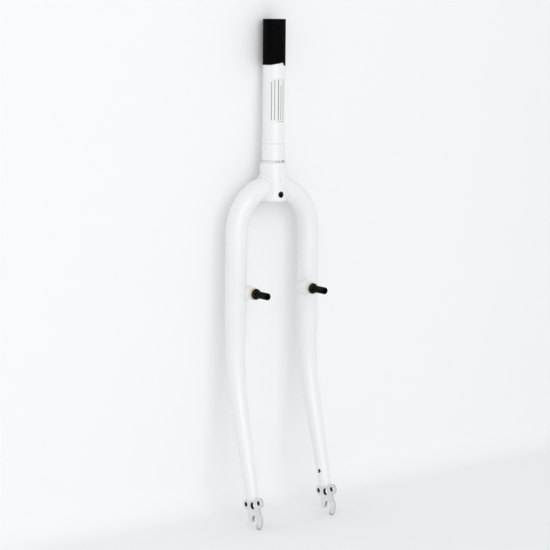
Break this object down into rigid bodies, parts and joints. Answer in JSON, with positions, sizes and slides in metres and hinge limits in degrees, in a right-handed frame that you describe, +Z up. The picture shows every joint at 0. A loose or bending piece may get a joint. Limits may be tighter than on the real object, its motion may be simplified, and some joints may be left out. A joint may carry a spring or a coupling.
{
  "type": "mountain bike fork",
  "caption": "Rigid unicrown bicycle fork with a tall steerer, bent and tapered blades, brake posts, and slotted fork tips with eyelets that hold a front wheel.",
  "frame": {"origin": "on the steerer axis at the crown race shoulder", "axes": "+Z up along the steerer, -Y to the front of the bike, +X along the axle to the rider's left"},
  "size_m": [0.1266, 0.0718, 0.5693],
  "materials": {
    "white_paint": "gloss white enamel",
    "plated_steel": "satin plated plate",
    "black_steel": "satin black",
    "guard_plastic": "matte black sleeve"
  },
  "bodies": {
    "root": {"steerer_tube": "white_paint", "thread_guard": "guard_plastic", "left_blade": "white_paint", "right_blade": "white_paint", "left_fork_tip": "plated_steel", "right_fork_tip": "plated_steel", "left_brake_boss": "white_paint", "right_brake_boss": "white_paint", "left_brake_post": "black_steel", "right_brake_post": "black_steel", "left_crown_weld": "white_paint", "right_crown_weld": "white_paint"}
  },
  "joints": []
}
